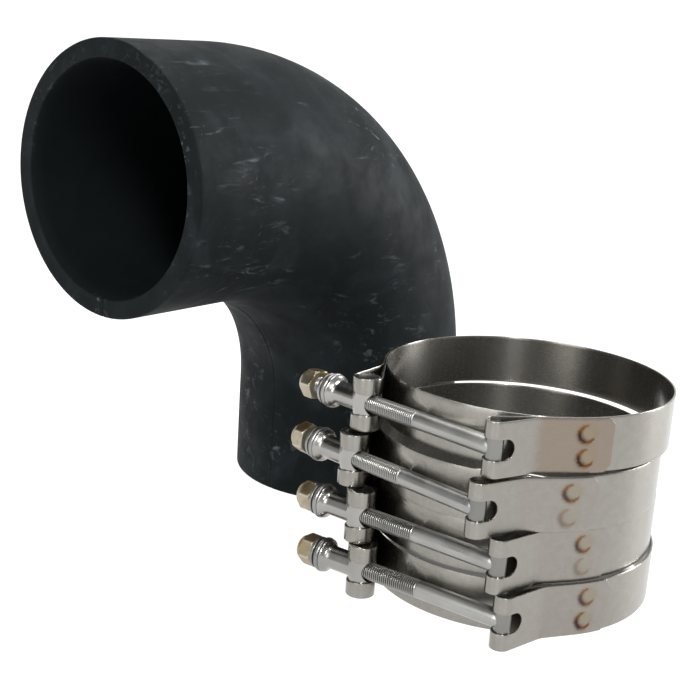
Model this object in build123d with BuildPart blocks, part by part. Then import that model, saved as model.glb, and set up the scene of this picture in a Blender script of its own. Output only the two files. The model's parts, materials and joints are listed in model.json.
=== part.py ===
from build123d import *
import os
from math import acos, atan2, cos, hypot, pi, radians, sin, sqrt

# Rubber 90 degree pipe elbow with four loose T-bolt band clamps piled beside it.
# Millimetres. Origin: centre of the elbow's lower port, on the surface it stands on.
# +Z runs up the standing leg and the upper port faces +X.

# ---- elbow -------------------------------------------------------------------
ELBOW_BORE = 101.6          # 4 in pipe bore
ELBOW_WALL = 9.525          # 3/8 in wall
BEND_R = 120.0              # bend radius of the centre line
LEG_LOW = 52.0              # straight run above the lower port
LEG_SIDE = 56.0             # straight run behind the upper port
LEAD_IN = 5.0               # depth of the upper port's tapered mouth
LEAD_STEP = 0.9             # how much wider the mouth is at its face
MOUTH_EDGE = 1.0            # rounding of the outer rim

# ---- band, in its clamp's own frame: ring axis +Z, bolt across the +X side -----
BAND_W = 23.7               # strap width
STRAP_T = 0.8               # strap thickness
RING_R = 64.8               # inner radius of the open band
RING_MID = RING_R + STRAP_T / 2
LAYER_GAP = 0.05            # air between the strap and its folded tail
BARREL_X = 68.8             # bolt line's distance from the ring axis
BARREL_Y = 35.5             # half the distance from T-head to trunnion
SEAM_GAP = 0.3              # cut at the back where the two halves meet
TAIL_ANGLE = 69.0           # where the folded tail ends
TAIL_CORNER = 2.0           # rounding of the tail's corners
WELD_ANGLE = 58.5           # spot welds through tail and strap
WELD_PITCH = 10.6
WELD_R = 2.4
DIMPLE_R = 3.6              # electrode mark over each weld
DIMPLE_DEEP = 0.12
FOLD_R = 12.0               # bend where the folded layer flattens out
FOLD_REACH = 18.0           # from the side of the loop to the end of that bend
BRIDGE_T = 0.5
BRIDGE_W = 22.9
BRIDGE_ANGLE = 66.0         # half the arc that the bridge spans
FIT = 0.08                  # running clearance of pins in their loops
END_GAP = 0.2               # pins stop this far short of the strap edges

# ---- T-bolt and its slot ---------------------------------------------------------
BOLT_R = 3.97               # 5/16 in
BAR_R = 3.65                # cross bar of the T-head
BAR_EDGE = 0.4
HEAD_R = 3.3                # shank where it leaves the cross bar
HEAD_LEN = 3.0              # from there to the full shank
SHANK_PLAIN = 41.0          # unthreaded length from the T-head
NECK_LEN = 1.2              # thread run-out
NECK_DEEP = 0.25
BOLT_POINT = 0.9            # chamfer at the threaded end
BOLT_SHORT = 0.6            # the end stops this far inside the nut
BOLT_SLOT = 8.9             # slot height in the T-head loop
BOLT_SLOT_END = 7.8         # slot end, measured along the strap from the T-head
BOLT_SLOT_INNER = 2.7       # how far the slot reaches into the inner layer

# ---- trunnion and its slot ---------------------------------------------------------
BARREL_R = 5.6
BARREL_EDGE = 0.5
TUBE_R = 5.2
TUBE_BORE = 4.35
TUBE_LEN = 19.0             # barrel centre to the face of the flared lip
TUBE_FLARE = [              # radius, distance behind the lip's face
    (TUBE_R, 3.6),
    (5.7, 2.3),
    (7.3, 1.0),
    (7.7, 0.5),
    (7.4, 0.0),
]
TUBE_SLOT = 11.2
TUBE_SLOT_FRONT = 9.4       # narrower at the front of the loop
TUBE_SLOT_END = 9.9
TUBE_SLOT_INNER = 1.3

# ---- washers and nut -----------------------------------------------------------------
SEAT_GAP = 0.15
HOLE_R = 4.27               # hole of both washers
CUP_T = 3.4
CUP_OUTLINE = [             # radius, distance from the face against the trunnion
    (7.4, 0.0),
    (7.9, 0.5),
    (7.9, 1.4),
    (7.3, 2.5),
    (6.1, CUP_T),
]
WASHER_R = 7.2
WASHER_T = 1.4
WASHER_EDGE = 0.2
NUT_AF = 12.7               # 1/2 in across flats
NUT_HEX = 6.4               # height of the hexagon
NUT_CORNER = NUT_AF / sqrt(3)
NUT_SEAT_EDGE = 0.6         # corner rounding at the washer end
NUT_TOP_EDGE = 0.9          # corner rounding at the collar end
NUT_COLLAR = 2.4            # height of the collar that holds the nylon ring
COLLAR_R = 5.75
COLLAR_ROOT = 0.5           # how far the collar reaches down into the hexagon
COLLAR_CROWN = 1.4          # height of the collar's rolled-in edge
COLLAR_LIP = 4.45           # radius of the collar's top face
INSERT_R = 4.8
INSERT_T = 1.5
THREAD_GAP = 0.05

# ---- the pile, from the bottom clamp up ------------------------------------------
STACK_GAP = 0.15
CLAMPS = [
    # name, x, y, turn about Z, tilt (front up), nut backed off, nut turned
    ("c1", 48.7, 141.7, 3.7, 0.0, 0.2, 8.0),
    ("c2", 47.8, 139.7, 1.5, 0.0, 0.2, 40.0),
    ("c3", 50.4, 140.6, -5.8, 0.0, 3.0, 22.0),
    ("c4", 45.4, 141.3, -5.0, 0.5, 5.2, 52.0),
]


def on(base, x, y, z=0.0):
    """Point given in a clamp's own frame."""
    return base.from_local_coords((x, y, z))


def along(base, x, y, z=0.0):
    """Direction given in a clamp's own frame."""
    return base.from_local_coords((x, y, z)) - base.origin


def set_on(base, point, x_dir, z_dir):
    """Work plane placed in a clamp's own frame."""
    return Plane(origin=on(base, *point), x_dir=along(base, *x_dir), z_dir=along(base, *z_dir))


def save(part, label):
    part.label = label
    export_step(part, f"parts/{label}.step")


# ---- elbow ---------------------------------------------------------------------
def make_elbow():
    outer = ELBOW_BORE / 2 + ELBOW_WALL
    inner = ELBOW_BORE / 2
    face_x = BEND_R + LEG_SIDE
    axis_z = BEND_R + LEG_LOW
    half = BEND_R * sin(pi / 4)
    with BuildPart() as elbow:
        with BuildLine() as run:
            Line((0, 0, 0), (0, 0, LEG_LOW))
            ThreePointArc(
                (0, 0, LEG_LOW), (BEND_R - half, 0, LEG_LOW + half), (BEND_R, 0, axis_z)
            )
            Line((BEND_R, 0, axis_z), (face_x, 0, axis_z))
        with BuildSketch(Plane.XY):
            Circle(outer)
            Circle(inner, mode=Mode.SUBTRACT)
        sweep(path=run.wire())
        rims = elbow.edges().filter_by(GeomType.CIRCLE)
        rims = rims.filter_by(lambda e: abs(e.radius - outer) < 0.01)
        ends = rims.sort_by(Axis.Z)[:1] + rims.sort_by(Axis.X)[-1:]
        fillet(ends, radius=MOUTH_EDGE)
        with Locations(Plane(origin=(face_x, 0, axis_z), x_dir=(0, 1, 0), z_dir=(-1, 0, 0))):
            Cone(
                inner + LEAD_STEP,
                inner,
                LEAD_IN,
                align=(Align.CENTER, Align.CENTER, Align.MIN),
                mode=Mode.SUBTRACT,
            )
    save(elbow.part, "elbow")


# ---- strap ----------------------------------------------------------------------
def leave_angle(loop_r):
    """Angle about the ring axis where the strap leaves the ring for its loop."""
    span = hypot(BARREL_X, BARREL_Y)
    return atan2(BARREL_Y, BARREL_X) + acos((RING_MID + loop_r) / span)


def strap_outline(loop_r, side):
    """Closed outline of one folded strap half; side is 1 for the T-head, -1 for the nut.

    The strap follows the ring, runs straight to its loop, goes round the pin, folds flat
    and lies on itself up to the tail. The fold is drawn in a frame of its own on the pin,
    with u along the strap away from the opening and v outwards.
    """
    leave = leave_angle(loop_r)
    fold_u = loop_r + FOLD_REACH
    fold_v = STRAP_T + LAYER_GAP - loop_r + FOLD_R
    reach = hypot(fold_u, fold_v)
    slant = atan2(fold_v, fold_u) + acos((loop_r + FOLD_R) / reach)
    back = pi - SEAM_GAP / 2 / RING_MID
    tail = radians(TAIL_ANGLE)
    tail_mid = RING_MID + STRAP_T + LAYER_GAP

    def ring(r, a):
        return (r * cos(a), side * r * sin(a))

    def fold(u, v):
        x = BARREL_X - sin(leave) * u + cos(leave) * v
        y = BARREL_Y + cos(leave) * u + sin(leave) * v
        return (x, side * y)

    def loop_at(r, a):
        return fold(r * cos(a), r * sin(a))

    def bend_at(r, a):
        return fold(fold_u - r * cos(a), fold_v - r * sin(a))

    def face(d):
        """Edges of one face of the strap, d outwards of its middle where it is a ring."""
        loop = loop_r - d
        bend = FOLD_R + d
        ring_end = ring(RING_MID + d, leave)
        loop_start = loop_at(loop, -pi / 2)
        loop_end = loop_at(loop, slant)
        loop_mid = loop_at(loop, (3 * pi / 2 + slant) / 2)
        bend_start = bend_at(bend, slant)
        bend_end = bend_at(bend, pi / 2)
        tail_start = ring(tail_mid - d, leave)
        return [
            (ring(RING_MID + d, back), ring(RING_MID + d, (back + leave) / 2), ring_end),
            (ring_end, loop_start),
            (loop_start, loop_mid, loop_end),
            (loop_end, bend_start),
            (bend_start, bend_at(bend, (slant + pi / 2) / 2), bend_end),
            (bend_end, tail_start),
            (tail_start, ring(tail_mid - d, (leave + tail) / 2), ring(tail_mid - d, tail)),
        ]

    outer = face(STRAP_T / 2)
    inner = face(-STRAP_T / 2)
    tail_end = (outer[-1][-1], inner[-1][-1])
    seam_end = (inner[0][0], outer[0][0])
    return outer + [tail_end] + [edge[::-1] for edge in reversed(inner)] + [seam_end]


def make_strap(base, label, loop_r, side, slot, slot_front, slot_end, slot_inner):
    leave = leave_angle(loop_r)
    u = (-sin(leave), side * cos(leave), 0)
    v = (cos(leave), side * sin(leave), 0)
    drop = loop_r - (STRAP_T + LAYER_GAP) / 2
    seam = (BARREL_X - v[0] * drop, side * BARREL_Y - v[1] * drop, BAND_W / 2)
    between_layers = set_on(base, seam, u, v)
    slot_straight = slot_end - slot / 2
    weld = radians(WELD_ANGLE)
    out = (cos(weld), side * sin(weld), 0)
    in_strap = RING_R + STRAP_T / 2
    in_tail_face = RING_R + 2 * STRAP_T + LAYER_GAP - DIMPLE_DEEP
    weld_seat = (out[0] * in_strap, out[1] * in_strap, BAND_W / 2)
    dimple_seat = (out[0] * in_tail_face, out[1] * in_tail_face, BAND_W / 2)
    tail = radians(TAIL_ANGLE)
    tail_mid = RING_MID + STRAP_T + LAYER_GAP
    tail_end = on(base, tail_mid * cos(tail), side * tail_mid * sin(tail), BAND_W / 2)
    with BuildPart() as strap:
        with BuildSketch(base):
            with BuildLine():
                for edge in strap_outline(loop_r, side):
                    if len(edge) == 3:
                        ThreePointArc(*edge)
                    else:
                        Line(*edge)
            make_face()
        extrude(amount=BAND_W)
        # slot through the loop and the folded layer, with a round end
        with BuildSketch(between_layers):
            with Locations((-loop_r, 0)):
                Rectangle(2 * loop_r, slot_front)
            with Locations((-loop_r / 2, 0)):
                Rectangle(slot_straight + loop_r / 2, slot, align=(Align.MIN, Align.CENTER))
            with Locations((slot_straight, 0)):
                Circle(slot / 2)
        extrude(amount=3 * loop_r, mode=Mode.SUBTRACT)
        # the slot runs on a little way into the inner layer, for the bolt
        with BuildSketch(between_layers):
            with Locations((slot_inner, 0)):
                Rectangle(3 * loop_r, slot_front, align=(Align.MAX, Align.CENTER))
        extrude(amount=-2 * STRAP_T, mode=Mode.SUBTRACT)
        corners = strap.edges().filter_by(lambda e: abs(e.length - STRAP_T) < 0.001)
        fillet(corners.sort_by_distance(tail_end)[:2], radius=TAIL_CORNER)
        # spot welds, each under the round mark of its electrode
        with BuildSketch(set_on(base, weld_seat, (0, 0, 1), out)):
            with Locations((WELD_PITCH / 2, 0), (-WELD_PITCH / 2, 0)):
                Circle(WELD_R)
        extrude(amount=STRAP_T + LAYER_GAP)
        with BuildSketch(set_on(base, dimple_seat, (0, 0, 1), out)):
            with Locations((WELD_PITCH / 2, 0), (-WELD_PITCH / 2, 0)):
                Circle(DIMPLE_R)
        extrude(amount=STRAP_T, mode=Mode.SUBTRACT)
    save(strap.part, label)


def make_bridge(base, label):
    """Thin inner strip that carries the ring across the opening, under the bolt."""
    outer = RING_R - LAYER_GAP
    inner = outer - BRIDGE_T
    wide = radians(BRIDGE_ANGLE)
    ends = [(r * cos(wide), r * sin(wide)) for r in (outer, inner)]
    with BuildPart() as bridge:
        with BuildSketch(base.offset((BAND_W - BRIDGE_W) / 2)):
            with BuildLine():
                ThreePointArc(ends[0], (outer, 0), (ends[0][0], -ends[0][1]))
                Line((ends[0][0], -ends[0][1]), (ends[1][0], -ends[1][1]))
                ThreePointArc((ends[1][0], -ends[1][1]), (inner, 0), ends[1])
                Line(ends[1], ends[0])
            make_face()
        extrude(amount=BRIDGE_W)
    save(bridge.part, label)


# ---- parts on the bolt line --------------------------------------------------------
def bolt_line(base):
    return Axis(on(base, BARREL_X, BARREL_Y, BAND_W / 2), along(base, 0, -1))


def lengthwise(base, profile):
    """Closed profile, (radius, distance from the T-head), on a plane through the bolt line."""
    plane = set_on(base, (BARREL_X, BARREL_Y, BAND_W / 2), (0, 0, 1), (1, 0, 0))
    with BuildSketch(plane) as section:
        with BuildLine():
            Polyline(*profile, close=True)
        make_face()
    return section.sketch


def across(base, distance):
    """Plane square to the bolt line, its normal pointing from the T-head to the nut."""
    return set_on(base, (BARREL_X, BARREL_Y - distance, BAND_W / 2), (0, 0, 1), (0, -1, 0))


def cup_start():
    """Where the cup washer begins, measured from the T-head."""
    return 2 * BARREL_Y + TUBE_LEN + SEAT_GAP


def nut_start(slack):
    return cup_start() + CUP_T + WASHER_T + slack


def make_tbolt(base, label, slack):
    end = nut_start(slack) + NUT_HEX + NUT_COLLAR - BOLT_SHORT
    with BuildPart() as bolt:
        with BuildSketch(base.offset(END_GAP)):
            with Locations((BARREL_X, BARREL_Y)):
                Circle(BAR_R)
        extrude(amount=BAND_W - 2 * END_GAP)
        chamfer(bolt.edges().filter_by(GeomType.CIRCLE), length=BAR_EDGE)
        stem = [
            (0, 0),
            (HEAD_R, 0),
            (BOLT_R, HEAD_LEN),
            (BOLT_R, SHANK_PLAIN - NECK_DEEP),
            (BOLT_R - NECK_DEEP, SHANK_PLAIN),
            (BOLT_R - NECK_DEEP, SHANK_PLAIN + NECK_LEN),
            (BOLT_R, SHANK_PLAIN + NECK_LEN + NECK_DEEP),
            (BOLT_R, end - BOLT_POINT),
            (BOLT_R - BOLT_POINT, end),
            (0, end),
        ]
        revolve(lengthwise(base, stem), axis=bolt_line(base))
    save(bolt.part, label)


def make_trunnion(base, label):
    mid = 2 * BARREL_Y
    lip = mid + TUBE_LEN
    with BuildPart() as trunnion:
        with BuildSketch(base.offset(END_GAP)):
            with Locations((BARREL_X, -BARREL_Y)):
                Circle(BARREL_R)
        extrude(amount=BAND_W - 2 * END_GAP)
        chamfer(trunnion.edges().filter_by(GeomType.CIRCLE), length=BARREL_EDGE)
        flare = [(r, lip - back) for r, back in TUBE_FLARE]
        revolve(
            lengthwise(base, [(0, mid), (TUBE_R, mid)] + flare + [(0, lip)]),
            axis=bolt_line(base),
        )
        with BuildSketch(across(base, mid - 2 * BARREL_R)):
            Circle(TUBE_BORE)
        extrude(amount=TUBE_LEN + 4 * BARREL_R, mode=Mode.SUBTRACT)
    save(trunnion.part, label)


def make_cup(base, label):
    s = cup_start()
    outline = [(r, s + ahead) for r, ahead in CUP_OUTLINE]
    with BuildPart() as cup:
        revolve(
            lengthwise(base, [(HOLE_R, s)] + outline + [(HOLE_R, s + CUP_T)]),
            axis=bolt_line(base),
        )
    save(cup.part, label)


def make_washer(base, label):
    s = cup_start() + CUP_T
    section = [
        (HOLE_R, s),
        (WASHER_R - WASHER_EDGE, s),
        (WASHER_R, s + WASHER_EDGE),
        (WASHER_R, s + WASHER_T - WASHER_EDGE),
        (WASHER_R - WASHER_EDGE, s + WASHER_T),
        (HOLE_R, s + WASHER_T),
    ]
    with BuildPart() as washer:
        revolve(lengthwise(base, section), axis=bolt_line(base))
    save(washer.part, label)


def make_nut(base, label, slack, turn):
    s = nut_start(slack)
    hex_end = s + NUT_HEX
    top = hex_end + NUT_COLLAR
    with BuildPart() as nut:
        with BuildSketch(across(base, s)):
            RegularPolygon(NUT_AF / 2, 6, major_radius=False, rotation=turn)
        extrude(amount=NUT_HEX)
        rounded_corners = [
            (0, s),
            (NUT_AF / 2, s),
            (NUT_CORNER, s + NUT_SEAT_EDGE),
            (NUT_CORNER, hex_end - NUT_TOP_EDGE),
            (NUT_AF / 2, hex_end),
            (0, hex_end),
        ]
        revolve(lengthwise(base, rounded_corners), axis=bolt_line(base), mode=Mode.INTERSECT)
        collar = [
            (0, hex_end - COLLAR_ROOT),
            (COLLAR_R, hex_end - COLLAR_ROOT),
            (COLLAR_R, top - COLLAR_CROWN),
            (COLLAR_LIP, top),
            (0, top),
        ]
        revolve(lengthwise(base, collar), axis=bolt_line(base))
        with BuildSketch(across(base, s)):
            Circle(BOLT_R + THREAD_GAP)
        extrude(amount=NUT_HEX + NUT_COLLAR, mode=Mode.SUBTRACT)
        with BuildSketch(across(base, hex_end)):
            Circle(INSERT_R)
        extrude(amount=INSERT_T, mode=Mode.SUBTRACT)
    save(nut.part, label)


def make_insert(base, label, slack):
    s = nut_start(slack) + NUT_HEX
    section = [
        (BOLT_R + THREAD_GAP, s),
        (INSERT_R, s),
        (INSERT_R, s + INSERT_T),
        (BOLT_R + THREAD_GAP, s + INSERT_T),
    ]
    with BuildPart() as insert:
        revolve(lengthwise(base, section), axis=bolt_line(base))
    save(insert.part, label)


def make_clamp(level, name, x, y, turn, tilt, slack, nut_turn):
    height = level * (BAND_W + STACK_GAP)
    flat = Plane(origin=(x, y, height), z_dir=(0, 0, 1)).rotated((0, 0, turn))
    # a tilted clamp rocks on the back of its ring, so that its bolt side rises
    rise = (RING_R + STRAP_T) * sin(radians(tilt))
    base = Plane(origin=flat.origin + Vector(0, 0, rise), x_dir=flat.x_dir, z_dir=flat.z_dir)
    base = base.rotated((0, -tilt, 0))
    make_strap(
        base,
        f"{name}_strap_bolt_side",
        loop_r=BAR_R + FIT + STRAP_T / 2,
        side=1,
        slot=BOLT_SLOT,
        slot_front=BOLT_SLOT,
        slot_end=BOLT_SLOT_END,
        slot_inner=BOLT_SLOT_INNER,
    )
    make_strap(
        base,
        f"{name}_strap_nut_side",
        loop_r=BARREL_R + FIT + STRAP_T / 2,
        side=-1,
        slot=TUBE_SLOT,
        slot_front=TUBE_SLOT_FRONT,
        slot_end=TUBE_SLOT_END,
        slot_inner=TUBE_SLOT_INNER,
    )
    make_bridge(base, f"{name}_bridge")
    make_tbolt(base, f"{name}_t_bolt", slack)
    make_trunnion(base, f"{name}_trunnion")
    make_cup(base, f"{name}_cup_washer")
    make_washer(base, f"{name}_flat_washer")
    make_nut(base, f"{name}_nut", slack, nut_turn)
    make_insert(base, f"{name}_nut_insert", slack)


os.makedirs("parts", exist_ok=True)
make_elbow()
for level, clamp in enumerate(CLAMPS):
    make_clamp(level, *clamp)
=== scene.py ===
import json
import math
import bmesh
import bpy
import numpy as np
from mathutils import Matrix, Vector, noise

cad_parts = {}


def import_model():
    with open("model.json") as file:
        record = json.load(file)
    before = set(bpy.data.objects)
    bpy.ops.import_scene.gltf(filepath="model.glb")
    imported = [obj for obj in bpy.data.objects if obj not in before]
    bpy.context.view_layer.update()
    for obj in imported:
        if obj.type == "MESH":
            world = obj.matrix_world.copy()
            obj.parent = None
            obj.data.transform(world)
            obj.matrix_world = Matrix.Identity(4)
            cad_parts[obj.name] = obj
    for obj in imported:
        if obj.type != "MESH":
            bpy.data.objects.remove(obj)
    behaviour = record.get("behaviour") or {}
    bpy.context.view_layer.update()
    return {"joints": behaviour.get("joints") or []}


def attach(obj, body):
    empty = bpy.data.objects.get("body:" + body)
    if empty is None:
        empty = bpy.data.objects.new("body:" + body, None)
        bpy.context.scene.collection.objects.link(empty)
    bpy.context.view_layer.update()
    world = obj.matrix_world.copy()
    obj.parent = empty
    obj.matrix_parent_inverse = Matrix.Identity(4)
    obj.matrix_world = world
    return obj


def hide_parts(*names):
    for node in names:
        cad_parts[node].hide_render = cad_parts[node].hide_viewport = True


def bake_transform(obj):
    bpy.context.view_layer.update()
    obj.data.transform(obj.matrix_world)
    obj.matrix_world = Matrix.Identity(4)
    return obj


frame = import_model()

MM = 0.001
MERGE = 1e-6  # vertices nearer than this, in metres, are one
JOINT = {j["name"]: j for j in frame["joints"]}

# Elbow, in millimetres as in the CAD.
BORE_R = 50.8
OUT_R = 60.325
BEND_R = 120.0
LEG_LOW = 52.0
LEG_SIDE = 56.0
LEAD_IN = 5.0
LEAD_STEP = 0.9
RIM_R = 1.0

# Clamp, in its own frame: ring axis +Z, mid-height at z 0, bolt across the +X side.
BAND_W = 23.7
STRAP_T = 0.8
RING_R = 64.8
RING_MID = RING_R + STRAP_T / 2
LAYER_GAP = 0.05
BARREL_X = 68.8
BARREL_Y = 35.5
TAIL_ANGLE = 69.0
WELD_ANGLE = 58.5
WELD_PITCH = 10.6
FOLD_R = 12.0
FOLD_REACH = 18.0
FIT = 0.08
SLOT_CORNER = 1.3
END_GAP = 0.2
BRIDGE_T = 0.5
BRIDGE_W = 22.9
BRIDGE_ANGLE = 66.0
BOLT_R = 3.97
BAR_R = 3.65
BAR_SHORT = 1.6
# painted shade on the T-bar, which sits inside its loop
BAR_SHADE = 0.5  # as much as half the depth of a thread
HEAD_R = 3.3
HEAD_LEN = 3.0
SHANK_PLAIN = 41.0
THREAD_PITCH = 25.4 / 24
THREAD_DEEP = 0.6
BOLT_SLOT = 8.9
BOLT_SLOT_END = 7.8
BOLT_SLOT_INNER = 2.7
BARREL_R = 5.6
TUBE_R = 5.2
TUBE_BORE = 4.35
TUBE_LEN = 19.0
TUBE_SLOT = 11.2
TUBE_SLOT_FRONT = 9.4
TUBE_SLOT_END = 9.9
TUBE_SLOT_INNER = 1.3
CUP_T = 3.4
WASHER_R = 7.2
WASHER_T = 1.4
SEAT_GAP = 0.15
HOLE_R = 4.27
NUT_AF = 12.7
NUT_HEX = 6.4
NUT_COLLAR = 2.4
# radius, distance from the seat
NUT_OUTLINE = [
    (4.05, 0.0), (5.3, 0.0), (6.1, 0.02), (6.4, 0.08), (6.75, 0.25), (7.05, 0.45), (7.3, 0.7),
    (7.45, 1.0), *((7.6, s) for s in np.linspace(1.4, 4.9, 8)),
    (7.4, 5.25), (7.15, 5.6), (6.85, 5.9), (6.5, 6.2), (6.2, 6.4), (5.95, 6.52), (5.82, 6.75),
    (5.75, 7.1), (5.65, 7.5), (5.45, 7.9), (5.15, 8.3), (4.85, 8.6), (4.6, 8.75), (4.4, 8.8),
    (4.2, 8.75), (4.1, 8.5), (4.05, 7.8),
]

FLOOR = 40000.0  # half its side

# name, nut backed off (mm), nut turned (deg), weld marks (lower, upper), heat tint, nut stain and
# painted reflection
CLAMPS = [
    ("c1", 0.2, 8.0, (0.95, 0.8), 0.15, 0.35),
    ("c2", 0.2, 40.0, (0.35, 0.8), 0.1, 0.5),
    ("c3", 3.0, 22.0, (0.4, 0.8), 0.15, 0.7),
    ("c4", 5.2, 52.0, (0.95, 1.0), 0.9, 0.6),
]


# ---- mesh helpers ------------------------------------------------------------------
def make_object(name, verts, faces, uvs=None, matrix=None):
    """Object from vertices in millimetres; matrix takes them to the shared frame, in metres."""
    verts = np.asarray(verts, float)
    if matrix is not None:
        verts = verts @ matrix[:3, :3].T + matrix[:3, 3] / MM
    mesh = bpy.data.meshes.new(name)
    mesh.from_pydata((verts * MM).tolist(), [], faces)
    if uvs is not None:
        layer = mesh.uv_layers.new(name="UVMap")
        loops = np.zeros(len(mesh.loops), int)
        mesh.loops.foreach_get("vertex_index", loops)
        layer.data.foreach_set("uv", np.asarray(uvs, float)[loops].ravel())
    mesh.update()
    obj = bpy.data.objects.new(name, mesh)
    bpy.context.scene.collection.objects.link(obj)
    return obj


def apply_modifiers(obj):
    bpy.context.view_layer.update()
    shown = obj.evaluated_get(bpy.context.evaluated_depsgraph_get())
    mesh = bpy.data.meshes.new_from_object(shown)
    obj.modifiers.clear()
    old = obj.data
    obj.data = mesh
    bpy.data.meshes.remove(old)


def smooth(obj, angle=40):
    obj.data.shade_smooth()
    obj.data.set_sharp_from_angle(angle=math.radians(angle))


def merge(obj):
    bm = bmesh.new()
    bm.from_mesh(obj.data)
    bmesh.ops.remove_doubles(bm, verts=bm.verts, dist=MERGE)
    loose = [v for v in bm.verts if not v.link_faces]
    bmesh.ops.delete(bm, geom=loose, context="VERTS")
    bmesh.ops.recalc_face_normals(bm, faces=bm.faces)
    bm.to_mesh(obj.data)
    bm.free()


def round_corners(points, radii, steps=4):
    """A closed or open polyline with each corner turned into a short arc."""
    out = []
    n = len(points)
    for i, (p, r) in enumerate(zip(points, radii)):
        p = np.array(p, float)
        if r <= 0:
            out.append(tuple(p))
            continue
        a = np.array(points[i - 1], float) - p
        b = np.array(points[(i + 1) % n], float) - p
        la, lb = np.linalg.norm(a), np.linalg.norm(b)
        a, b = a / la, b / lb
        cut = min(r, 0.49 * la, 0.49 * lb)
        p0, p2 = p + a * cut, p + b * cut
        for k in range(steps + 1):
            t = k / steps
            out.append(tuple((1 - t) ** 2 * p0 + 2 * t * (1 - t) * p + t**2 * p2))
    return out


def ring_faces(rows, count, closed=True):
    """Quads between rows of count points; closed joins the last row to the first too."""
    faces = []
    for i in range(rows if closed else rows - 1):
        j = (i + 1) % rows
        for k in range(count):
            m = (k + 1) % count
            faces.append((i * count + k, i * count + m, j * count + m, j * count + k))
    return faces


def lathe(name, profile, matrix, origin, axis, side, count=64):
    """Closed profile of (radius, distance) spun about axis; side is a direction square to it."""
    axis, side = np.array(axis, float), np.array(side, float)
    other = np.cross(axis, side)
    angles = np.linspace(0, 2 * math.pi, count, endpoint=False)
    rim = np.cos(angles)[:, None] * side + np.sin(angles)[:, None] * other
    verts = [np.array(origin) + axis * s + rim * r for r, s in profile]
    faces = ring_faces(len(profile), count)
    obj = make_object(name, np.vstack(verts), faces, matrix=matrix)
    merge(obj)
    return obj


def thicken(obj, thickness, bevel, angle, even):
    """Sheet metal from its middle surface, with broken edges."""
    shell = obj.modifiers.new("thickness", "SOLIDIFY")
    shell.thickness = thickness * MM
    shell.offset = 0
    shell.use_even_offset = even
    edge = obj.modifiers.new("edge", "BEVEL")
    edge.width = bevel * MM
    edge.segments = 2
    edge.limit_method = "ANGLE"
    edge.angle_limit = math.radians(angle)
    apply_modifiers(obj)
    smooth(obj, 50)


# ---- node helpers ----------------------------------------------------------------------
class Nodes:
    """Short names for building one procedural material."""

    def __init__(self, name):
        self.material = bpy.data.materials.new(name)
        self.material.use_nodes = True
        self.tree = self.material.node_tree
        self.shader = self.tree.nodes["Principled BSDF"]

    def add(self, kind, **props):
        node = self.tree.nodes.new(kind)
        for key, value in props.items():
            setattr(node, key, value)
        return node

    def put(self, socket, value):
        if isinstance(value, bpy.types.NodeSocket):
            self.tree.links.new(value, socket)
        else:
            socket.default_value = value

    def set(self, name, value):
        self.put(self.shader.inputs[name], value)

    def math(self, op, a, b=0.0, c=0.0, clamp=False):
        node = self.add("ShaderNodeMath", operation=op, use_clamp=clamp)
        for socket, value in zip(node.inputs, (a, b, c)):
            self.put(socket, value)
        return node.outputs[0]

    def step(self, value, low, high, a=0.0, b=1.0):
        node = self.add("ShaderNodeMapRange", interpolation_type="SMOOTHSTEP")
        for socket, item in zip(node.inputs, (value, low, high, a, b)):
            self.put(socket, item)
        return node.outputs[0]

    def mix(self, factor, a, b):
        node = self.add("ShaderNodeMix", data_type="RGBA")
        self.put(node.inputs[0], factor)
        self.put(node.inputs[6], a if isinstance(a, bpy.types.NodeSocket) else (*a, 1.0))
        self.put(node.inputs[7], b if isinstance(b, bpy.types.NodeSocket) else (*b, 1.0))
        return node.outputs[2]

    def place(self):
        return self.add("ShaderNodeTexCoord").outputs["Object"]

    def stretch(self, coords, scale, turn=(0, 0, 0)):
        node = self.add("ShaderNodeMapping")
        self.put(node.inputs[0], coords)
        node.inputs["Rotation"].default_value = turn
        node.inputs["Scale"].default_value = scale
        return node.outputs[0]

    def noise(self, coords, scale, detail=4.0, rough=0.55, warp=0.0):
        node = self.add("ShaderNodeTexNoise")
        self.put(node.inputs["Vector"], coords)
        node.inputs["Scale"].default_value = scale
        node.inputs["Detail"].default_value = detail
        node.inputs["Roughness"].default_value = rough
        node.inputs["Distortion"].default_value = warp
        return node.outputs[0]

    def bump(self, height, strength, distance, normal=None):
        node = self.add("ShaderNodeBump")
        node.inputs["Strength"].default_value = strength
        node.inputs["Distance"].default_value = distance
        self.put(node.inputs["Height"], height)
        if normal is not None:
            self.put(node.inputs["Normal"], normal)
        return node.outputs[0]

    def split(self, vector):
        node = self.add("ShaderNodeSeparateXYZ")
        self.put(node.inputs[0], vector)
        return node.outputs


def dress(obj, nodes):
    obj.data.materials.clear()
    obj.data.materials.append(nodes.material)


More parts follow.
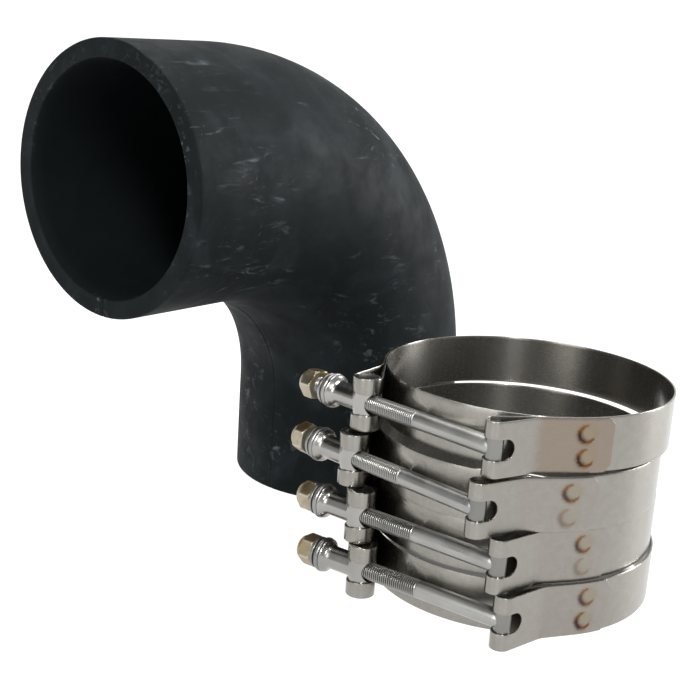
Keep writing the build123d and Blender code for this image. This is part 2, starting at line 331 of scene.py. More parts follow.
# ---- materials -----------------------------------------------------------------------
def rubber_material():
    n = Nodes("rubber")
    place = n.place()
    inside = n.add("ShaderNodeAttribute", attribute_name="inside").outputs["Fac"]
    wide = n.noise(place, 9, 3, 0.5)
    patch = n.noise(place, 38, 6, 0.62, 0.6)
    tone = n.mix(n.step(wide, 0.35, 0.7), (0.0026, 0.0042, 0.0048), (0.0065, 0.009, 0.01))
    tone = n.mix(n.step(patch, 0.45, 0.75, 0.0, 0.6), tone, (0.013, 0.017, 0.0195))
    # pale bloom, wiped into streaks
    streaks = n.noise(n.stretch(place, (14, 60, 60), (0.3, 0.6, 0.25)), 3.2, 6, 0.7, 0.8)
    cloud = n.noise(place, 16, 4, 0.6, 0.3)
    streak = n.math("MULTIPLY", n.step(streaks, 0.54, 0.72), n.step(cloud, 0.44, 0.62))
    tone = n.mix(n.math("MULTIPLY", streak, 0.7), tone, (0.085, 0.105, 0.115))
    fine = n.noise(n.stretch(place, (260, 30, 90), (0.5, 0.2, 0.9)), 2.0, 4, 0.7, 1.2)
    scuff = n.math("MULTIPLY", n.step(fine, 0.64, 0.73), n.step(cloud, 0.48, 0.6))
    tone = n.mix(n.math("MULTIPLY", scuff, 0.5), tone, (0.12, 0.13, 0.135))
    # the bore gets one flat dark tone without the outside's patches, bloom and scuffs: partly the bare
    # rubber, partly painted shade in the hollow
    tone = n.mix(inside, tone, (0.004, 0.0055, 0.0062))
    n.set("Base Color", tone)
    rough = n.step(n.noise(place, 60, 4, 0.6), 0.3, 0.7, 0.58, 0.74)
    n.set("Roughness", rough)
    n.set("Specular IOR Level", 0.09)
    grain = n.noise(place, 1600, 3, 0.6)
    lumps = n.noise(place, 130, 4, 0.55)
    n.set("Normal", n.bump(grain, 0.12, 0.0002, n.bump(lumps, 0.12, 0.0006)))
    return n


def steel_base(name, low, high, rough_low, rough_high):
    n = Nodes(name)
    place = n.place()
    cloud = n.noise(place, 30, 3, 0.5, 0.2)
    tone = n.mix(n.step(cloud, 0.3, 0.72), low, high)
    specks = n.step(n.noise(place, 520, 4, 0.6), 0.62, 0.74, 0.0, 0.14)
    tone = n.mix(specks, tone, (0.24, 0.23, 0.21))
    # painted shade at the bottom of the thread, and half as much on the T-bar in its loop; other
    # pieces have no grooves
    groove = n.add("ShaderNodeAttribute", attribute_name="groove").outputs["Fac"]
    n.set("Base Color", n.mix(n.step(groove, 0.1, 0.9, 0.0, 0.85), tone, (0.05, 0.05, 0.046)))
    n.set("Metallic", 1.0)
    n.set("Roughness", n.step(n.noise(place, 90, 4, 0.6), 0.3, 0.72, rough_low, rough_high))
    n.set("Normal", n.bump(n.noise(place, 900, 3, 0.6), 0.03, 0.00004))
    return n


def strap_material(name, marks, tint, shift):
    """Rolled strap. UV is (distance past the weld line towards the tail, height), in dm."""
    n = Nodes(name)
    uv = n.add("ShaderNodeUVMap", uv_map="UVMap").outputs[0]
    axes = n.split(uv)
    past = n.math("MULTIPLY", axes[0], 100.0)
    height = n.math("MULTIPLY", axes[1], 100.0)
    lines = n.noise(n.stretch(uv, (6, 420, 1)), 5.0, 5, 0.7)
    cloud = n.noise(n.stretch(uv, (9, 9, 1)), 2.6, 5, 0.6, 0.4)
    tone = n.mix(n.step(cloud, 0.3, 0.75), (0.276, 0.263, 0.238), (0.306, 0.293, 0.268))
    tone = n.mix(n.step(lines, 0.35, 0.7, 0.0, 0.2), tone, (0.228, 0.217, 0.197))
    # heat tint round the welds, fading towards the loop
    edge = n.math("ADD", past, n.step(cloud, 0.2, 0.8, -2.5, 2.5))
    warm = n.math("MULTIPLY", n.step(edge, -25.0, -18.0), n.step(past, 16.0, 13.0))
    warm = n.math("MULTIPLY", warm, 0.8 * tint)
    tone = n.mix(warm, tone, (0.235, 0.183, 0.145))
    wobble = n.step(n.noise(n.stretch(uv, (30, 30, 1)), 3.0, 4, 0.6), 0.3, 0.7, -0.5, 0.5)
    dimples = None
    for sign, strength in zip((-1, 1), marks):
        up = n.math("SUBTRACT", height, sign * WELD_PITCH / 2 + 0.3 * sign * shift)
        ahead = n.math("SUBTRACT", past, 0.6 * shift * sign)
        reach = n.math("SQRT", n.math("ADD", n.math("POWER", up, 2.0), n.math("POWER", ahead, 2.0)))
        reach = n.math("ADD", reach, n.math("MULTIPLY", wobble, 0.5))
        # share of the ring that is marked: thick on the left and below, open up and right
        heading = n.math("ADD", n.math("MULTIPLY", ahead, -0.86), n.math("MULTIPLY", up, -0.5))
        heading = n.math("DIVIDE", heading, n.math("MAXIMUM", reach, 0.2))
        crescent = n.step(heading, -0.72, -0.25)
        width = n.step(heading, -0.7, 0.9, 0.45, 1.25)
        off = n.math("DIVIDE", n.math("SUBTRACT", reach, 3.5), width)
        ring = n.math("EXPONENT", n.math("MULTIPLY", n.math("POWER", off, 2.0), -1.0))
        ring = n.math("MULTIPLY", ring, crescent)
        halo = n.step(reach, 6.2, 3.0, 0.0, 0.45 * strength)
        tone = n.mix(halo, tone, (0.25, 0.195, 0.11))
        core = n.step(reach, 3.0, 0.8, 0.0, 0.25)
        tone = n.mix(core, tone, (0.27, 0.24, 0.185))
        dark = n.mix(n.step(heading, 0.45, 0.95), (0.15, 0.065, 0.02), (0.045, 0.02, 0.02))
        tone = n.mix(n.math("MULTIPLY", ring, min(1.0, 1.1 * strength), clamp=True), tone, dark)
        dip = n.step(reach, 3.9, 3.1)
        dimples = dip if dimples is None else n.math("ADD", dimples, dip)
    n.set("Base Color", tone)
    n.set("Metallic", 1.0)
    n.set("Roughness", n.step(lines, 0.25, 0.75, 0.22, 0.29))
    n.set("Anisotropic", 0.8)
    n.set("Anisotropic Rotation", 0.25)
    tangent = n.add("ShaderNodeTangent", direction_type="UV_MAP", uv_map="UVMap").outputs[0]
    n.set("Tangent", tangent)
    waves = n.noise(n.stretch(uv, (7, 7, 1)), 3.0, 3, 0.5)
    normal = n.bump(waves, 0.12, 0.0005)
    normal = n.bump(lines, 0.04, 0.00006, normal)
    n.set("Normal", n.bump(n.math("MULTIPLY", dimples, -1.0), 0.3, 0.0002, normal))
    return n


def nut_material(name, stain_and_reflection):
    n = Nodes(name)
    place = n.place()
    patches = n.noise(place, 90, 4, 0.55, 0.4)
    tone = n.mix(n.step(patches, 0.4, 0.68), (0.4, 0.365, 0.28), (0.35, 0.285, 0.165))
    # painted reflection: the flats that lie up or down are painted a darker brown
    normal = n.split(n.add("ShaderNodeNewGeometry").outputs["True Normal"])
    lying_reflection = n.step(n.math("ABSOLUTE", normal[2]), 0.45, 0.8, 0.0, 0.6 + 0.3 * stain_and_reflection)
    tone = n.mix(lying_reflection, tone, (0.25, 0.17, 0.07))
    stain = n.step(n.noise(place, 210, 5, 0.65), 0.52, 0.72, 0.0, stain_and_reflection * 0.7)
    tone = n.mix(stain, tone, (0.2, 0.12, 0.05))
    # painted highlight, paler along the rounded corners
    near = n.add("ShaderNodeAttribute", attribute_name="corner").outputs["Fac"]
    tone = n.mix(n.math("MULTIPLY", near, 0.6), tone, (0.55, 0.53, 0.47))
    n.set("Base Color", tone)
    n.set("Metallic", 0.92)
    n.set("Roughness", n.step(n.noise(place, 300, 4, 0.6), 0.3, 0.7, 0.3, 0.44))
    n.set("Normal", n.bump(n.noise(place, 600, 4, 0.6), 0.1, 0.0001))
    return n


def nylon_material():
    n = Nodes("nylon")
    place = n.place()
    n.set("Base Color", n.mix(n.noise(place, 300, 3), (0.72, 0.71, 0.64), (0.82, 0.81, 0.75)))
    n.set("Roughness", 0.5)
    n.set("Subsurface Weight", 0.1)
    n.set("Normal", n.bump(n.noise(place, 800, 3), 0.1, 0.0001))
    return n


# ---- elbow --------------------------------------------------------------------------------
def elbow_line(t):
    """Point on the centre line at distance t, its forward direction and its outward one."""
    arc = BEND_R * math.pi / 2
    if t <= LEG_LOW:
        return np.array([0, 0, t]), np.array([0, 0, 1.0]), np.array([-1.0, 0, 0])
    if t >= LEG_LOW + arc:
        x = BEND_R + t - LEG_LOW - arc
        return np.array([x, 0, BEND_R + LEG_LOW]), np.array([1.0, 0, 0]), np.array([0, 0, 1.0])
    a = (t - LEG_LOW) / BEND_R
    out = np.array([-math.cos(a), 0, math.sin(a)])
    return np.array([BEND_R, 0, LEG_LOW]) + BEND_R * out, np.array([math.sin(a), 0, math.cos(a)]), out


def elbow():
    length = LEG_LOW + BEND_R * math.pi / 2 + LEG_SIDE
    corner = [(OUT_R, 0), (OUT_R, length), (BORE_R + LEAD_STEP, length), (BORE_R, length - LEAD_IN),
              (BORE_R, 0)]
    corner = round_corners(corner, [RIM_R, RIM_R * 1.3, 0.7, 3.0, 0.8], 5)
    profile = []
    for (r0, t0), (r1, t1) in zip(corner, corner[1:] + corner[:1]):
        count = max(1, int(math.hypot(r1 - r0, t1 - t0) / 2.4))
        profile += [(r0 + (r1 - r0) * k / count, t0 + (t1 - t0) * k / count) for k in range(count)]
    # angles: 0 is the outside of the bend; finer rows along the two mould lines
    fine = [-1.4, -0.75, -0.4, -0.2, 0.0, 0.2, 0.4, 0.75, 1.4]
    angles = sorted(set([math.radians(a) for a in fine] + [math.radians(180 + a) for a in fine]
                        + [math.radians(a) for a in np.arange(3, 178, 2.5)]
                        + [math.radians(180 + a) for a in np.arange(3, 178, 2.5)]))
    angles = np.array(angles)
    count = len(angles)
    verts, inside = [], []
    for r, t in profile:
        centre, ahead, out = elbow_line(t)
        side = np.array([0, 1.0, 0])
        for a in angles:
            direction = math.cos(a) * out + math.sin(a) * side
            spot = Vector((t / 55.0, math.cos(a) * 1.3, math.sin(a) * 1.3))
            outer = (r - BORE_R) / (OUT_R - BORE_R)
            sag = 0.22 * (1 - noise.noise(spot)) + 0.07 * (1 - noise.noise(spot * 4.3))
            sag *= 0.5 if outer > 0.5 else -0.35
            # a thin groove where the mould halves met
            off = min(abs(a), abs(a - 2 * math.pi), abs(a - math.pi)) * OUT_R
            weave = 0.75 + 0.25 * noise.noise(Vector((t / 9.0, 3.0 if abs(a - math.pi) < 1 else 0, 0)))
            groove = 0.42 * weave * math.exp(-((off / 0.38) ** 2))
            depth = groove * max(0.0, min(1.0, (outer - 0.4) * 3))
            radius = r - sag - depth
            edge = 0.0
            if t > length - 0.01 and 0.02 < outer < 0.99:
                edge = 0.18 * (0.5 + 0.5 * noise.noise(spot * 6.0)) + groove * 1.3
            # small knock in the rim
            far = ((a - 0.42) * r / 4.0) ** 2 + ((t - length) / 4.0) ** 2 + ((outer - 1) / 0.5) ** 2
            knock = math.exp(-far)
            radius -= 0.9 * knock
            verts.append(centre + direction * radius - ahead * (edge + 0.5 * knock))
            inside.append(1.0 if outer < 0.1 and t < length - 1 else 0.0)
    faces = [(a, d, c, b) for a, b, c, d in ring_faces(len(profile), count)]
    obj = make_object("elbow_body", verts, faces)
    data = obj.data.attributes.new("inside", "FLOAT", "POINT")
    data.data.foreach_set("value", np.array(inside, np.float32))
    merge(obj)
    smooth(obj, 60)
    return obj


# ---- strap ---------------------------------------------------------------------------------
def half_strap(loop_r, slot, slot_front, slot_end, slot_inner):
    """Middle line of the +Y half from its tail to the back of the ring, with its slot."""
    span = math.hypot(BARREL_X, BARREL_Y)
    leave = math.atan2(BARREL_Y, BARREL_X) + math.acos((RING_MID + loop_r) / span)
    fold_u = loop_r + FOLD_REACH
    fold_v = STRAP_T + LAYER_GAP - loop_r + FOLD_R
    slant = math.atan2(fold_v, fold_u) + math.acos((loop_r + FOLD_R) / math.hypot(fold_u, fold_v))
    tail_mid = RING_MID + STRAP_T + LAYER_GAP
    along = np.array([-math.sin(leave), math.cos(leave)])
    outward = np.array([math.cos(leave), math.sin(leave)])
    pin = np.array([BARREL_X, BARREL_Y])

    def ring(r, a0, a1):
        a = np.linspace(a0, a1, max(8, int(abs(a1 - a0) * r / 0.05)))
        return np.stack([r * np.cos(a), r * np.sin(a)], 1)

    def fold(u, v):
        return pin + np.outer(np.atleast_1d(u), along) + np.outer(np.atleast_1d(v), outward)

    bend = np.linspace(math.pi / 2, slant, 200)
    loop = np.linspace(slant, 3 * math.pi / 2, 800)
    parts = [
        ring(tail_mid, math.radians(TAIL_ANGLE), leave),
        fold(fold_u - FOLD_R * np.cos(bend), fold_v - FOLD_R * np.sin(bend)),
        fold(loop_r * np.cos(loop), loop_r * np.sin(loop)),
        ring(RING_MID, leave, math.pi),
    ]
    rough = np.vstack(parts)
    keep = np.r_[True, np.hypot(*(np.diff(rough, axis=0).T)) > 1e-6]
    rough = rough[keep]
    run = np.r_[0, np.cumsum(np.hypot(*(np.diff(rough, axis=0).T)))]
    s = np.linspace(0, run[-1], int(run[-1] / 0.04))
    rough = np.stack([np.interp(s, run, rough[:, 0]), np.interp(s, run, rough[:, 1])], 1)
    u = (rough - pin) @ along
    front = np.argmin(u + 1e3 * (s > s[-1] / 2))
    tip = s[np.argmax(u < slot_end)]
    inner = s[front + np.argmax(u[front:] > slot_inner)]
    apex = s[front]
    weld = math.radians(TAIL_ANGLE - WELD_ANGLE) * tail_mid
    return {"s": s, "p": rough, "tip": tip, "inner": inner, "apex": apex, "weld": weld,
            "half": slot / 2, "front": slot_front / 2, "length": s[-1], "loop_r": loop_r}


def slot_half(h, s):
    """Half-height at s of the slot, or of the strap's middle rows beyond its ends."""
    blend = min(1.0, max(0.0, (s - (h["apex"] - h["loop_r"] * 1.3)) / (h["loop_r"] * 0.8)))
    high = h["half"] + (h["front"] - h["half"]) * blend * blend * (3 - 2 * blend)
    if s <= h["tip"]:
        return min(3.0, (h["tip"] - s) * 1.2)
    if s >= h["inner"]:
        return h["front"] - SLOT_CORNER
    from_tip = s - h["tip"]
    if from_tip < h["half"]:
        high = math.sqrt(max(0.0, h["half"] ** 2 - (h["half"] - from_tip) ** 2))
    to_end = h["inner"] - s
    if to_end < SLOT_CORNER:
        high = h["front"] - SLOT_CORNER
        high += math.sqrt(SLOT_CORNER**2 - (SLOT_CORNER - to_end) ** 2)
    return high


def strap(name, matrix):
    halves = [
        half_strap(BAR_R + FIT + STRAP_T / 2, BOLT_SLOT, BOLT_SLOT, BOLT_SLOT_END, BOLT_SLOT_INNER),
        half_strap(BARREL_R + FIT + STRAP_T / 2, TUBE_SLOT, TUBE_SLOT_FRONT, TUBE_SLOT_END,
                   TUBE_SLOT_INNER),
    ]
    low_rows, mid_rows = 6, 4
    columns = []
    for side, h in zip((1, -1), halves):
        cuts = set(np.arange(0, h["inner"] + 12, 0.55))
        cuts |= set(np.arange(h["inner"] + 12, h["length"], 2.0))
        cuts |= {h["tip"] + h["half"] * (1 - math.cos(k * math.pi / 24)) for k in range(13)}
        cuts |= {h["inner"] - SLOT_CORNER * (1 - math.cos(k * math.pi / 12)) for k in range(7)}
        cuts |= {0.0, 0.25, 0.6, 1.0, 1.6, 2.4, 3.2}
        cuts.add(h["length"])
        cuts = sorted(cuts)
        special = [h["tip"], h["inner"], h["length"]]
        kept = []
        for c in cuts:
            if kept and c - kept[-1] < 0.04:
                if c in special:
                    kept[-1] = c
                continue
            kept.append(c)
        rows = []
        for s in kept:
            x = np.interp(s, h["s"], h["p"][:, 0])
            y = np.interp(s, h["s"], h["p"][:, 1]) * side
            half = slot_half(h, s)
            # corners cut off the tail
            wide = BAND_W / 2 - 3.1 * max(0.0, 1 - s / 2.9) ** 1.15
            is_open = h["tip"] - 1e-9 <= s <= h["inner"] + 1e-9
            rows.append((x, y, wide, half, is_open, (h["weld"] - s) / 100))
        if side < 0:
            rows = rows[::-1][1:]
        columns += rows
    verts, uvs = [], []
    nz = 2 * (low_rows + 1) + mid_rows - 1
    for x, y, wide, half, is_open, d in columns:
        zs = list(np.linspace(-wide, -half, low_rows + 1))
        zs += [half * (2 * k / mid_rows - 1) for k in range(1, mid_rows)]
        zs += list(np.linspace(half, wide, low_rows + 1))
        for z in zs:
            verts.append((x, y, z))
            uvs.append((d, z / 100))
    faces = []
    for i in range(len(columns) - 1):
        is_open = columns[i][4] and columns[i + 1][4]
        for j in range(nz - 1):
            if is_open and low_rows <= j < low_rows + mid_rows:
                continue
            a = i * nz + j
            faces.append((a, a + nz, a + nz + 1, a + 1))
    obj = make_object(name, verts, faces, uvs, matrix)
    merge(obj)
    thicken(obj, STRAP_T, 0.14, 55, even=True)
    return obj


def bridge(name, matrix):
    radius = RING_R - LAYER_GAP - BRIDGE_T / 2
    angles = np.radians(np.linspace(-BRIDGE_ANGLE, BRIDGE_ANGLE, 121))
    heights = np.linspace(-BRIDGE_W / 2, BRIDGE_W / 2, 9)
    verts, uvs, faces = [], [], []
    for a in angles:
        for z in heights:
            verts.append((radius * math.cos(a), radius * math.sin(a), z))
            uvs.append((radius * a / 100, z / 100))
    n = len(heights)
    for i in range(len(angles) - 1):
        for j in range(n - 1):
            k = i * n + j
            faces.append((k, k + n, k + n + 1, k + 1))
    obj = make_object(name, verts, faces, uvs, matrix)
    thicken(obj, BRIDGE_T, 0.1, 60, even=False)
    return obj


# ---- parts on the bolt line --------------------------------------------------------------
HEAD = (BARREL_X, BARREL_Y, 0.0)
TO_NUT = (0.0, -1.0, 0.0)
SIDE = (1.0, 0.0, 0.0)


def nut_start(slack):
    return 2 * BARREL_Y + TUBE_LEN + SEAT_GAP + CUP_T + WASHER_T + slack


def thread_depth(phase):
    """Depth of a rolled thread below its crest; phase runs 0 to 1 over one pitch."""
    away = abs(phase - 0.5) * 2
    return THREAD_DEEP * min(1.0, max(0.0, (0.88 - away) / 0.72))


def t_bolt(name, matrix, slack):
    end = nut_start(slack) + NUT_HEX + NUT_COLLAR - 0.6
    count = 48
    s_plain = [0.0, 0.5, 1.0, 1.5, 2.0, 2.5, 3.0, 6.0, 12.0, 20.0, 30.0, 36.0, SHANK_PLAIN - 1.2]
    s_thread = list(np.arange(SHANK_PLAIN - 0.8, end - 1.0, THREAD_PITCH / 9))
    s_tip = [end - 0.9, end - 0.5, end - 0.2, end]
    rows = s_plain + s_thread + s_tip
    angles = np.linspace(0, 2 * math.pi, count, endpoint=False)
    side, other = np.array(SIDE), np.cross(TO_NUT, SIDE)
    verts, grooves = [], []
    for s in rows:
        start = min(1.0, max(0.0, (s - SHANK_PLAIN + 0.6) / 1.3))
        finish = min(1.0, max(0.0, (end - s) / 0.9))
        for a in angles:
            phase = (s / THREAD_PITCH - a / (2 * math.pi)) % 1.0
            radius = BOLT_R - thread_depth(phase) * start
            grooves.append(thread_depth(phase) * start / THREAD_DEEP)
            taper = math.sin(min(1.0, s / HEAD_LEN) * math.pi / 2)
            radius = min(radius, HEAD_R + (BOLT_R - HEAD_R) * taper)
            radius = min(radius, BOLT_R - 0.8 * (1 - finish))
            out = math.cos(a) * side + math.sin(a) * other
            verts.append(np.array(HEAD) + np.array(TO_NUT) * s + out * radius)
    faces = ring_faces(len(rows), count, closed=False)
    last = (len(rows) - 1) * count
    faces.append(tuple(last + k for k in range(count)))
    faces.append(tuple(reversed(range(count))))
    shank = make_object(name, verts, faces, matrix=matrix)
    data = shank.data.attributes.new("groove", "FLOAT", "POINT")
    data.data.foreach_set("value", np.array(grooves, np.float32))
    top = BAND_W / 2 - BAR_SHORT
    bar = [(0, -top), (BAR_R, -top), (BAR_R, top), (0, top)]
    bar = round_corners(bar, [0, 0.55, 0.55, 0], 5)
    cross = lathe(name + "_bar", bar, matrix, HEAD, (0, 0, 1), SIDE, 64)
    # painted shade over the whole T-bar, as at half the depth of a thread
    bar_shading = cross.data.attributes.new("groove", "FLOAT", "POINT")
    bar_shading.data.foreach_set("value", np.full(len(cross.data.vertices), BAR_SHADE, np.float32))
    return join(shank, cross)


def join(first, *rest):
    for obj in rest:
        bm = bmesh.new()
        bm.from_mesh(first.data)
        bm.from_mesh(obj.data)
        bm.to_mesh(first.data)
        bm.free()
        mesh = obj.data
        bpy.data.objects.remove(obj)
        bpy.data.meshes.remove(mesh)
    smooth(first, 38)
    return first


def trunnion_distance(p):
    """Signed distance to the trunnion's surface; p is (x, towards the nut, z) from its axis."""
    x, s, z = p[:, 0], p[:, 1], p[:, 2]
    top = BAND_W / 2 - END_GAP
    rho = np.hypot(x, s)
    edge = 0.6
    dish = 0.75 * np.clip(1 - (rho / 4.5) ** 2, 0, 1)
    q0, q1 = rho - BARREL_R + edge, np.abs(z) - top + dish + edge
    barrel = np.minimum(np.maximum(q0, q1), 0) + np.hypot(np.maximum(q0, 0), np.maximum(q1, 0)) - edge
    off = np.hypot(x, z)
    reach = np.interp(s, [0, 14.6, 15.6, 16.7, 17.4, 18.0, 18.5, 19.0],
                      [TUBE_R, TUBE_R, 5.3, 5.75, 6.5, 7.25, 7.65, 7.45])
    tube = np.maximum((off - reach) * 0.85, s - TUBE_LEN)
    tube = np.maximum(tube, -s)
    k = 1.0
    h = np.clip(0.5 + 0.5 * (tube - barrel) / k, 0, 1)
    body = tube * (1 - h) + barrel * h - k * h * (1 - h)
    bore = TUBE_BORE + 0.055 * np.clip(-s - 2.0, 0, None) ** 2
    k = 0.35
    cut = bore - off
    h = np.clip(0.5 - 0.5 * (body - cut) / k, 0, 1)
    return body * (1 - h) + cut * h + k * h * (1 - h)


def trunnion_mesh():
    """The trunnion's drawn shape, made once in its own frame."""
    top = BAND_W / 2 - END_GAP
    identity = np.eye(4)
    barrel = lathe("barrel", [(0, -top), (BARREL_R, -top), (BARREL_R, top), (0, top)],
                   identity, (0, 0, 0), (0, 0, 1), (1, 0, 0), 48)
    tube = lathe("tube", [(0, 0), (TUBE_R, 0), (TUBE_R, 15.5), (7.3, 18), (7.5, 19), (0, 19)],
                 identity, (0, 0, 0), (0, 1, 0), (1, 0, 0), 48)
    bore = lathe("bore", [(0, -9), (TUBE_BORE, -9), (TUBE_BORE, 22), (0, 22)],
                 identity, (0, 0, 0), (0, 1, 0), (1, 0, 0), 48)
    for tool, kind in ((tube, "UNION"), (bore, "DIFFERENCE")):
        cut = barrel.modifiers.new(kind, "BOOLEAN")
        cut.operation = kind
        cut.object = tool
        cut.solver = "EXACT"
    remesh = barrel.modifiers.new("voxels", "REMESH")
    remesh.mode = "VOXEL"
    remesh.voxel_size = 0.32 * MM
    apply_modifiers(barrel)
    points = np.zeros(len(barrel.data.vertices) * 3)
    barrel.data.vertices.foreach_get("co", points)
    points = points.reshape(-1, 3) / MM
    for _ in range(8):
        gap = trunnion_distance(points)
        tilt = np.stack([trunnion_distance(points + np.eye(3)[i] * 0.02) for i in range(3)], 1)
        tilt = (tilt - gap[:, None]) / 0.02
        size = np.linalg.norm(tilt, axis=1)
        move = np.clip(gap / np.maximum(size, 0.3), -0.25, 0.25)
        points -= tilt / np.maximum(size, 0.3)[:, None] * move[:, None]
    faces = [tuple(face.vertices) for face in barrel.data.polygons]
    for obj in (barrel, tube, bore):
        bpy.data.objects.remove(obj)
    return points, faces


def trunnion(name, matrix, shape):
    points, faces = shape
    local = np.stack([BARREL_X + points[:, 0], -BARREL_Y - points[:, 1], points[:, 2]], 1)
    # the frame is mirrored on the way, so the faces turn round
    obj = make_object(name, local, [face[::-1] for face in faces], matrix=matrix)
    smooth(obj, 70)
    return obj


def washers(name, matrix):
    s = 2 * BARREL_Y + TUBE_LEN + SEAT_GAP
    cup = [(HOLE_R, s), (7.4, s), (7.9, s + 0.5), (7.9, s + 1.3), (7.2, s + 2.5),
           (6.0, s + CUP_T), (HOLE_R, s + CUP_T)]
    cup = round_corners(cup, [0.1, 0.25, 0.3, 0.4, 0.6, 0.35, 0.1])
    cup = lathe(name + "_cup_washer", cup, matrix, HEAD, TO_NUT, SIDE, 72)
    smooth(cup, 40)
    s += CUP_T
    flat = [(HOLE_R, s), (WASHER_R, s), (WASHER_R, s + WASHER_T), (HOLE_R, s + WASHER_T)]
    flat = round_corners(flat, [0.1, 0.3, 0.3, 0.1])
    flat = lathe(name + "_flat_washer", flat, matrix, HEAD, TO_NUT, SIDE, 72)
    smooth(flat, 40)
    return cup, flat


def nut(name, matrix, slack, turn):
    s0 = nut_start(slack)
    count = 180
    flat = NUT_AF / 2
    side, other = np.array(SIDE), np.cross(TO_NUT, SIDE)
    verts, corners = [], []
    for r, s in NUT_OUTLINE:
        for k in range(count):
            a = 2 * math.pi * k / count
            turned = (a + math.radians(turn)) % (math.pi / 3) - math.pi / 6
            wall = flat / math.cos(turned)
            blunt = 0.18
            h = min(1.0, max(0.0, 0.5 + 0.5 * (wall - r) / blunt))
            radius = wall + (r - wall) * h - blunt * h * (1 - h)
            # rounded upright corners
            radius = min(radius, 7.15 + 0.1 * math.cos(6 * (a + math.radians(turn))))
            out = math.cos(a) * side + math.sin(a) * other
            verts.append(np.array(HEAD) + np.array(TO_NUT) * (s0 + s) + out * radius)
            corners.append(min(1.0, max(0.0, (radius - 6.95) / 0.25)))
    obj = make_object(name, verts, ring_faces(len(NUT_OUTLINE), count), matrix=matrix)
    data = obj.data.attributes.new("corner", "FLOAT", "POINT")
    data.data.foreach_set("value", np.array(corners, np.float32))
    merge(obj)
    smooth(obj, 30)
    return obj


def insert(name, matrix, slack):
    s = nut_start(slack) + NUT_HEX
    ring = [(4.0, s + 0.1), (4.95, s + 0.1), (4.95, s + 1.8), (4.0, s + 1.8)]
    ring = round_corners(ring, [0.1, 0.2, 0.2, 0.25])
    obj = lathe(name, ring, matrix, HEAD, TO_NUT, SIDE, 64)
    smooth(obj, 40)
    return obj


# ---- put together ------------------------------------------------------------------------
def clamp_frame(name):
    """Matrix from a clamp's own frame to the shared frame, from where its joints are."""
    hinge = Vector(JOINT[name + "_band_close"]["pos_m"])
    head = Vector(JOINT[name + "_bolt_swivel"]["pos_m"])
    barrel = Vector(JOINT[name + "_trunnion_swivel"]["pos_m"])
    up = Vector(JOINT[name + "_band_close"]["axis"]).normalized()
    x = ((head + barrel) / 2 - hinge).normalized()
    y = up.cross(x)
    centre = hinge + x * RING_R * MM
    matrix = np.eye(4)
    matrix[:3, 0], matrix[:3, 1], matrix[:3, 2], matrix[:3, 3] = x, y, up, centre
    return matrix


def build():
    body = elbow()
    dress(body, rubber_material())
    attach(body, "elbow")
    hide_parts("elbow")
    bolt_steel = steel_base("bolt_steel", (0.3, 0.299, 0.289), (0.38, 0.377, 0.36), 0.26, 0.4)
    trunnion_steel = steel_base("trunnion_steel", (0.3, 0.292, 0.275), (0.36, 0.352, 0.335), 0.22, 0.3)
    washer_steel = steel_base("washer_steel", (0.24, 0.24, 0.235), (0.32, 0.315, 0.3), 0.28, 0.42)
    bridge_steel = strap_material("bridge_steel", (0.0, 0.0), 0.0, 0.0)
    nylon = nylon_material()
    shape = trunnion_mesh()
    for index, (name, slack, turn, marks, tint, stain_and_reflection) in enumerate(CLAMPS):
        matrix = clamp_frame(name)

        def world(x, y, z=0.0):
            return tuple(matrix[:3, :3] @ np.array([x, y, z]) * MM + matrix[:3, 3])

        band = strap(name + "_strap", matrix)
        dress(band, strap_material(name + "_strap_steel", marks, tint, (-1) ** index * 0.5))
        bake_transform(band)
        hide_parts(name + "_strap_bolt_side", name + "_strap_nut_side")
        strip = bridge(name + "_inner_bridge", matrix)
        dress(strip, bridge_steel)
        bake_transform(strip)
        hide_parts(name + "_bridge")
        bolt = t_bolt(name + "_bolt", matrix, slack)
        dress(bolt, bolt_steel)
        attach(bolt, name + "_t_bolt")
        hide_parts(name + "_t_bolt")
        barrel = trunnion(name + "_tube", matrix, shape)
        dress(barrel, trunnion_steel)
        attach(barrel, name + "_trunnion")
        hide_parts(name + "_trunnion")
        cup, flat = washers(name, matrix)
        cup.name = name + "_cup"
        flat.name = name + "_washer"
        for piece, node in ((cup, "_cup_washer"), (flat, "_flat_washer")):
            dress(piece, washer_steel)
            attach(piece, name + "_washers")
            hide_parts(name + node)
        hexagon = nut(name + "_hex_nut", matrix, slack, turn)
        dress(hexagon, nut_material(name + "_nut_zinc", stain_and_reflection))
        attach(hexagon, name + "_nut")
        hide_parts(name + "_nut")
        ring = insert(name + "_nylon_ring", matrix, slack)
        dress(ring, nylon)
        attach(ring, name + "_nut")
        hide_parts(name + "_nut_insert")


def floor():
    verts = [(-FLOOR, -FLOOR, 0), (FLOOR, -FLOOR, 0), (FLOOR, FLOOR, 0), (-FLOOR, FLOOR, 0)]
    obj = make_object("floor", verts, [(0, 1, 2, 3)])
    n = Nodes("floor")
    place = n.place()
    glow = n.step(n.noise(place, 1.7, 2, 0.4), 0.35, 0.65, 0.98, 1.12)
    # painted shadow: the floor's glow is turned off under the elbow and inside the pile of rings,
    # where no light gets
    for x, y, inner, outer in ((0.0, 0.0, 0.05, 0.06), (0.048, 0.141, 0.056, 0.064)):
        away = n.add("ShaderNodeVectorMath", operation="DISTANCE")
        n.put(away.inputs[0], place)
        away.inputs[1].default_value = (x, y, 0.0)
        glow = n.math("MULTIPLY", glow, n.step(away.outputs["Value"], inner, outer))
    n.set("Base Color", (0.12, 0.12, 0.12, 1.0))
    n.set("Roughness", 0.8)
    n.set("Specular IOR Level", 0.05)
    n.set("Emission Color", (1.0, 1.0, 1.0, 1.0))
    n.set("Emission Strength", glow)
    dress(obj, n)


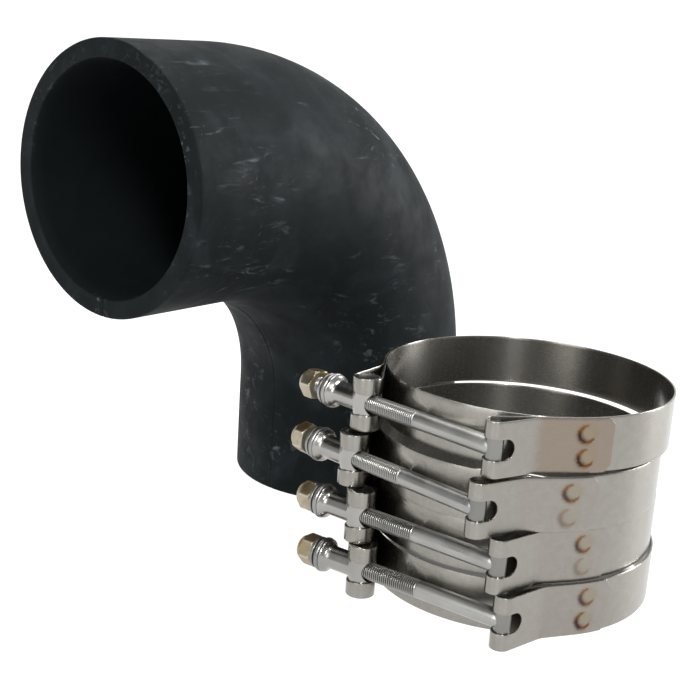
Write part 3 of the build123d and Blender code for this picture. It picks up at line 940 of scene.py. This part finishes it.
def area(name, position, target, size, power):
    light = bpy.data.lights.new(name, "AREA")
    light.shape = "RECTANGLE"
    light.size, light.size_y = size
    light.energy = power
    obj = bpy.data.objects.new(name, light)
    obj.location = position
    obj.rotation_mode = "QUATERNION"
    obj.rotation_quaternion = (Vector(target) - Vector(position)).to_track_quat("-Z", "Y")
    bpy.context.scene.collection.objects.link(obj)


def studio():
    world = bpy.data.worlds.new("studio")
    bpy.context.scene.world = world
    world.use_nodes = True
    tree = world.node_tree
    back = tree.nodes["Background"]
    coords = tree.nodes.new("ShaderNodeTexCoord")
    # bright behind the object, dimmer on the side that it faces
    facing = tree.nodes.new("ShaderNodeVectorMath")
    facing.operation = "DOT_PRODUCT"
    tree.links.new(coords.outputs["Generated"], facing.inputs[0])
    facing.inputs[1].default_value = (-0.78, -0.62, 0.0)
    ramp = tree.nodes.new("ShaderNodeMapRange")
    ramp.interpolation_type = "SMOOTHSTEP"
    tree.links.new(facing.outputs["Value"], ramp.inputs["Value"])
    ramp.inputs["From Min"].default_value = 0.42
    ramp.inputs["From Max"].default_value = 0.9
    ramp.inputs["To Min"].default_value = 0.44
    ramp.inputs["To Max"].default_value = 1.1
    tree.links.new(ramp.outputs["Result"], back.inputs["Strength"])
    back.inputs["Color"].default_value = (1.0, 1.0, 1.0, 1.0)
    centre = (0.08, 0.07, 0.08)
    area("top", (-0.1, -0.1, 1.6), centre, (0.8, 0.8), 24)
    area("right", (-1.15, 0.95, 0.55), centre, (0.5, 0.8), 30)
    area("window", (1.15, 1.25, 1.25), (0.04, 0.14, 0.05), (0.14, 0.8), 32)
    area("fill", (1.5, 0.1, 0.7), centre, (0.8, 1.1), 9)


def camera():
    """Three quarters view from the mouth side, with a slight roll."""
    azimuth, elevation, roll = math.radians(128.88), math.radians(14.99), math.radians(3.75)
    back = Vector((math.sin(azimuth) * math.cos(elevation), -math.cos(azimuth) * math.cos(elevation),
                   math.sin(elevation)))
    right = Vector((math.cos(azimuth), math.sin(azimuth), 0))
    up = back.cross(right)
    across = right * math.cos(roll) + up * math.sin(roll)
    over = up * math.cos(roll) - right * math.sin(roll)
    data = bpy.data.cameras.new("camera")
    data.sensor_width = 36
    data.lens = 63.30
    data.clip_start, data.clip_end = 0.02, 40
    obj = bpy.data.objects.new("camera", data)
    obj.matrix_world = Matrix((
        (across.x, over.x, back.x, 0.51254),
        (across.y, over.y, back.y, 0.40986),
        (across.z, over.z, back.z, 0.24544),
        (0, 0, 0, 1),
    ))
    bpy.context.scene.collection.objects.link(obj)
    bpy.context.scene.camera = obj


build()
floor()
studio()
camera()
bpy.context.scene.view_settings.view_transform = "Standard"
